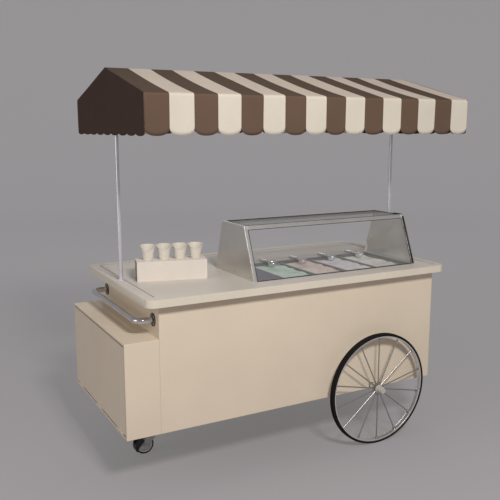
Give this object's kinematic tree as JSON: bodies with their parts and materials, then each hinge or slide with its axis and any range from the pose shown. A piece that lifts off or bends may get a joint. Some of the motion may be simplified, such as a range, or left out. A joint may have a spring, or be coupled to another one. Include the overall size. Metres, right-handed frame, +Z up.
{
  "type": "push vending cart",
  "caption": "Push vending cart with a cold food well under a glass guard, a low end locker, spoked wheels, a swivel caster and a gabled fabric canopy on poles.",
  "frame": {"origin": "on the ground under the middle of the overall footprint", "axes": "+X from the push handle to the big wheels, +Y from the customer side to the vendor side, +Z up"},
  "size_m": [2.06, 1.136, 2.13],
  "materials": {
    "cream_panel": "satin paint on plywood",
    "counter_paint": "satin paint",
    "plywood": "clear varnish",
    "frame_paint": "black powder coat",
    "frame_aluminium": "mill finish",
    "chrome": "polished",
    "stainless": "brushed",
    "guard_glass": "clear, slightly grey",
    "foam": "closed-cell foam",
    "food_mint": "soft frozen food",
    "food_peach": "soft frozen food",
    "food_lavender": "soft frozen food",
    "food_vanilla": "soft frozen food",
    "white_board": "semi-gloss",
    "paper": "waxed paper",
    "canopy_fabric": "woven acrylic canvas, brown and cream",
    "tyre_rubber": "solid rubber",
    "zinc": "zinc plated",
    "caster_plastic": "moulded",
    "black_plastic": "moulded"
  },
  "bodies": {
    "cart": {"chassis_frame": "frame_paint", "floor_panel": "plywood", "body_frame": "frame_aluminium", "front_panel": "cream_panel", "rear_fascia": "cream_panel", "left_panel": "cream_panel", "right_panel": "cream_panel", "hinge_pins": "chrome", "inner_shelf": "plywood", "countertop": "counter_paint", "well_liner": "stainless", "well_insulation": "foam", "cold_plates": "frame_aluminium", "divider_bars": "stainless", "filler_plate": "stainless", "guard_end_left": "stainless", "guard_end_right": "stainless", "guard_top_frame": "stainless", "guard_top_glass": "guard_glass", "guard_front_glass": "guard_glass", "pole_left": "chrome", "pole_right": "chrome", "canopy_frame": "frame_aluminium", "canopy_cloth": "canopy_fabric", "locker_shell": "cream_panel", "push_handle": "chrome", "axle": "chrome", "caster_leg": "frame_paint"},
    "rear_door_left": {"rear_door_left": "cream_panel"},
    "rear_door_right": {"rear_door_right": "cream_panel"},
    "locker_door": {"locker_door": "cream_panel"},
    "pan_1": {"pan_1": "stainless", "fill_1": "food_mint"},
    "scoop_1": {"scoop_1": "stainless"},
    "pan_2": {"pan_2": "stainless", "fill_2": "food_peach"},
    "scoop_2": {"scoop_2": "stainless"},
    "pan_3": {"pan_3": "stainless", "fill_3": "food_lavender"},
    "scoop_3": {"scoop_3": "stainless"},
    "pan_4": {"pan_4": "stainless", "fill_4": "food_vanilla"},
    "scoop_4": {"scoop_4": "stainless"},
    "cup_stand": {"cup_stand": "white_board"},
    "cup_1": {"cup_1": "paper"},
    "cup_2": {"cup_2": "paper"},
    "cup_3": {"cup_3": "paper"},
    "cup_4": {"cup_4": "paper"},
    "front_wheel": {"front_wheel_tyre": "tyre_rubber", "front_wheel_rim": "chrome", "front_wheel_spokes": "chrome", "front_wheel_hub": "chrome"},
    "rear_wheel": {"rear_wheel_tyre": "tyre_rubber", "rear_wheel_rim": "chrome", "rear_wheel_spokes": "chrome", "rear_wheel_hub": "chrome"},
    "caster_fork": {"caster_fork": "zinc"},
    "caster_wheel": {"caster_tyre": "tyre_rubber", "caster_hub": "caster_plastic"},
    "caster_brake": {"caster_brake": "black_plastic"}
  },
  "joints": [
    {"name": "rear_door_left_hinge", "type": "hinge", "parent": "cart", "child": "rear_door_left", "pos_m": [-0.799, 0.464, 0.62], "axis": [0, 0, 1], "range_deg": [0, 110]},
    {"name": "rear_door_right_hinge", "type": "hinge", "parent": "cart", "child": "rear_door_right", "pos_m": [0.119, 0.464, 0.62], "axis": [0, 0, -1], "range_deg": [0, 90]},
    {"name": "locker_door_hinge", "type": "hinge", "parent": "cart", "child": "locker_door", "pos_m": [-1.026, 0, 0.3295], "axis": [0, -1, 0], "range_deg": [0, 90]},
    {"name": "pan_1_lift", "type": "slide", "parent": "cart", "child": "pan_1", "axis": [0, 0, 1], "range_m": [0, 0.045]},
    {"name": "scoop_1_lift", "type": "slide", "parent": "pan_1", "child": "scoop_1", "axis": [0, 0, 1], "range_m": [0, 0.15]},
    {"name": "pan_2_lift", "type": "slide", "parent": "cart", "child": "pan_2", "axis": [0, 0, 1], "range_m": [0, 0.045]},
    {"name": "scoop_2_lift", "type": "slide", "parent": "pan_2", "child": "scoop_2", "axis": [0, 0, 1], "range_m": [0, 0.15]},
    {"name": "pan_3_lift", "type": "slide", "parent": "cart", "child": "pan_3", "axis": [0, 0, 1], "range_m": [0, 0.045]},
    {"name": "scoop_3_lift", "type": "slide", "parent": "pan_3", "child": "scoop_3", "axis": [0, 0, 1], "range_m": [0, 0.15]},
    {"name": "pan_4_lift", "type": "slide", "parent": "cart", "child": "pan_4", "axis": [0, 0, 1], "range_m": [0, 0.045]},
    {"name": "scoop_4_lift", "type": "slide", "parent": "pan_4", "child": "scoop_4", "axis": [0, 0, 1], "range_m": [0, 0.15]},
    {"name": "cup_stand_lift", "type": "slide", "parent": "cart", "child": "cup_stand", "axis": [0, 0, 1], "range_m": [0, 0.1]},
    {"name": "cup_1_lift", "type": "slide", "parent": "cup_stand", "child": "cup_1", "axis": [0, 0, 1], "range_m": [0, 0.12]},
    {"name": "cup_2_lift", "type": "slide", "parent": "cup_stand", "child": "cup_2", "axis": [0, 0, 1], "range_m": [0, 0.12]},
    {"name": "cup_3_lift", "type": "slide", "parent": "cup_stand", "child": "cup_3", "axis": [0, 0, 1], "range_m": [0, 0.12]},
    {"name": "cup_4_lift", "type": "slide", "parent": "cup_stand", "child": "cup_4", "axis": [0, 0, 1], "range_m": [0, 0.12]},
    {"name": "front_wheel_spin", "type": "hinge", "parent": "cart", "child": "front_wheel", "pos_m": [0.476, -0.518, 0.33], "axis": [0, 1, 0], "continuous": true},
    {"name": "rear_wheel_spin", "type": "hinge", "parent": "cart", "child": "rear_wheel", "pos_m": [0.476, 0.518, 0.33], "axis": [0, 1, 0], "continuous": true},
    {"name": "caster_swivel", "type": "hinge", "parent": "cart", "child": "caster_fork", "pos_m": [-0.738, 0, 0.125], "axis": [0, 0, 1], "continuous": true},
    {"name": "caster_spin", "type": "hinge", "parent": "caster_fork", "child": "caster_wheel", "pos_m": [-0.778, 0, 0.053], "axis": [0, 1, 0], "continuous": true},
    {"name": "caster_brake_press", "type": "hinge", "parent": "caster_fork", "child": "caster_brake", "pos_m": [-0.758, 0, 0.1172], "axis": [0, -1, 0], "range_deg": [0, 8]}
  ]
}
